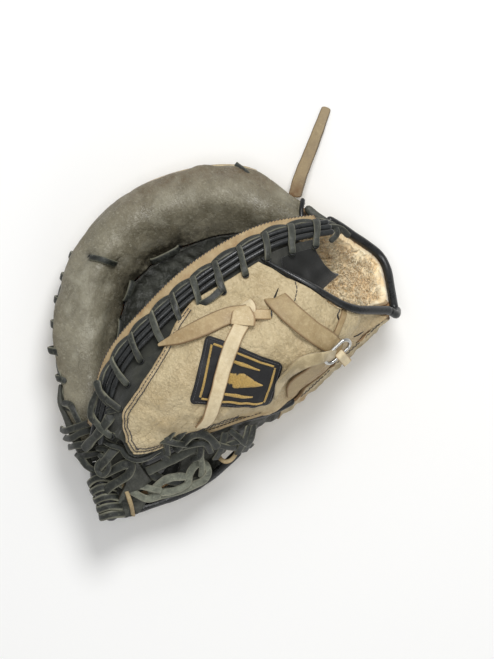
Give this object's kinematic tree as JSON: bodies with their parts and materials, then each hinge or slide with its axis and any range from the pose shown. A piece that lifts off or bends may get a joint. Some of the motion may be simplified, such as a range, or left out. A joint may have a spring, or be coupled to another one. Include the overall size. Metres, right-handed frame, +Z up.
{
  "type": "catcher's mitt",
  "caption": "Folded leather catcher's mitt with a padded crescent, laced rims, a web, a fleece-lined wrist opening and an adjustable wrist strap.",
  "frame": {"origin": "middle of the flat on which the back of the finger side rests", "axes": "+Y from the wrist to the web, +X from the spine towards the finger rim, +Z up from the table towards the thumb side"},
  "size_m": [0.2521, 0.382, 0.1481],
  "materials": {
    "tan_leather": "pebbled, worn",
    "dark_leather": "matt, pebbled",
    "crescent_leather": "worn to a low gloss",
    "lining_leather": "soft, matt",
    "felt": "pressed wool felt",
    "fleece": "curly pile",
    "binding": "smooth, glossy",
    "lace": "waxed, pale cut edges",
    "lace_grey": "worn suede",
    "strap_leather": "pebbled, worn",
    "patch": "embroidered",
    "ring_steel": "polished wire"
  },
  "bodies": {
    "finger_side": {"finger_back": "tan_leather", "finger_lining": "lining_leather", "stall_dividers": "lining_leather", "crescent_felt": "felt", "crescent_cover": "crescent_leather", "pocket_leather": "dark_leather", "palm_felt": "felt", "palm_lining": "lining_leather", "finger_binding": "binding", "finger_rim_lace": "lace", "crescent_ties": "lace", "heel_pad": "dark_leather", "wrist_fleece": "fleece", "wrist_piping_lower": "binding", "little_finger_loop": "strap_leather", "back_hand_panel": "tan_leather", "spine_panel": "dark_leather", "plaited_lace": "lace_grey", "tie_end": "lace", "heel_tail": "strap_leather"},
    "thumb_side": {"thumb_back_base": "dark_leather", "thumb_back_panel": "tan_leather", "thumb_palm": "dark_leather", "thumb_felt": "felt", "thumb_lining": "lining_leather", "thumb_flange": "tan_leather", "thumb_bindings": "binding", "thumb_rim_lace": "lace", "thumb_seam_roll": "binding", "heel_flap": "dark_leather", "wrist_piping_upper": "binding", "thumb_loop": "strap_leather", "thumb_patch": "patch", "wrist_strap": "strap_leather", "strap_keeper": "strap_leather", "strap_tail": "strap_leather", "ring_tab": "strap_leather", "stall_knot": "strap_leather", "knot_tail_long": "strap_leather", "knot_tail_short": "strap_leather"},
    "web": {"web_panel": "dark_leather", "web_bar": "dark_leather", "web_bar_lace": "lace_grey", "web_knots": "lace"},
    "ring": {"strap_ring": "ring_steel"}
  },
  "joints": [
    {"name": "thumb_fold", "type": "hinge", "parent": "finger_side", "child": "thumb_side", "pos_m": [-0.106, 0, 0.07], "axis": [0, -1, 0], "range_deg": [-5, 32]},
    {"name": "web_fold", "type": "hinge", "parent": "finger_side", "child": "web", "pos_m": [-0.106, 0, 0.07], "axis": [0, -1, 0], "range_deg": [-2.5, 16]},
    {"name": "ring_swing", "type": "hinge", "parent": "thumb_side", "child": "ring", "pos_m": [-0.10599, -0.07942, 0.10654], "axis": [-0.1045, 0.9945, 0], "range_deg": [-8, 8]}
  ],
  "couplings": [
    {"joint": "web_fold", "follows": "thumb_fold", "ratio": 0.5}
  ]
}
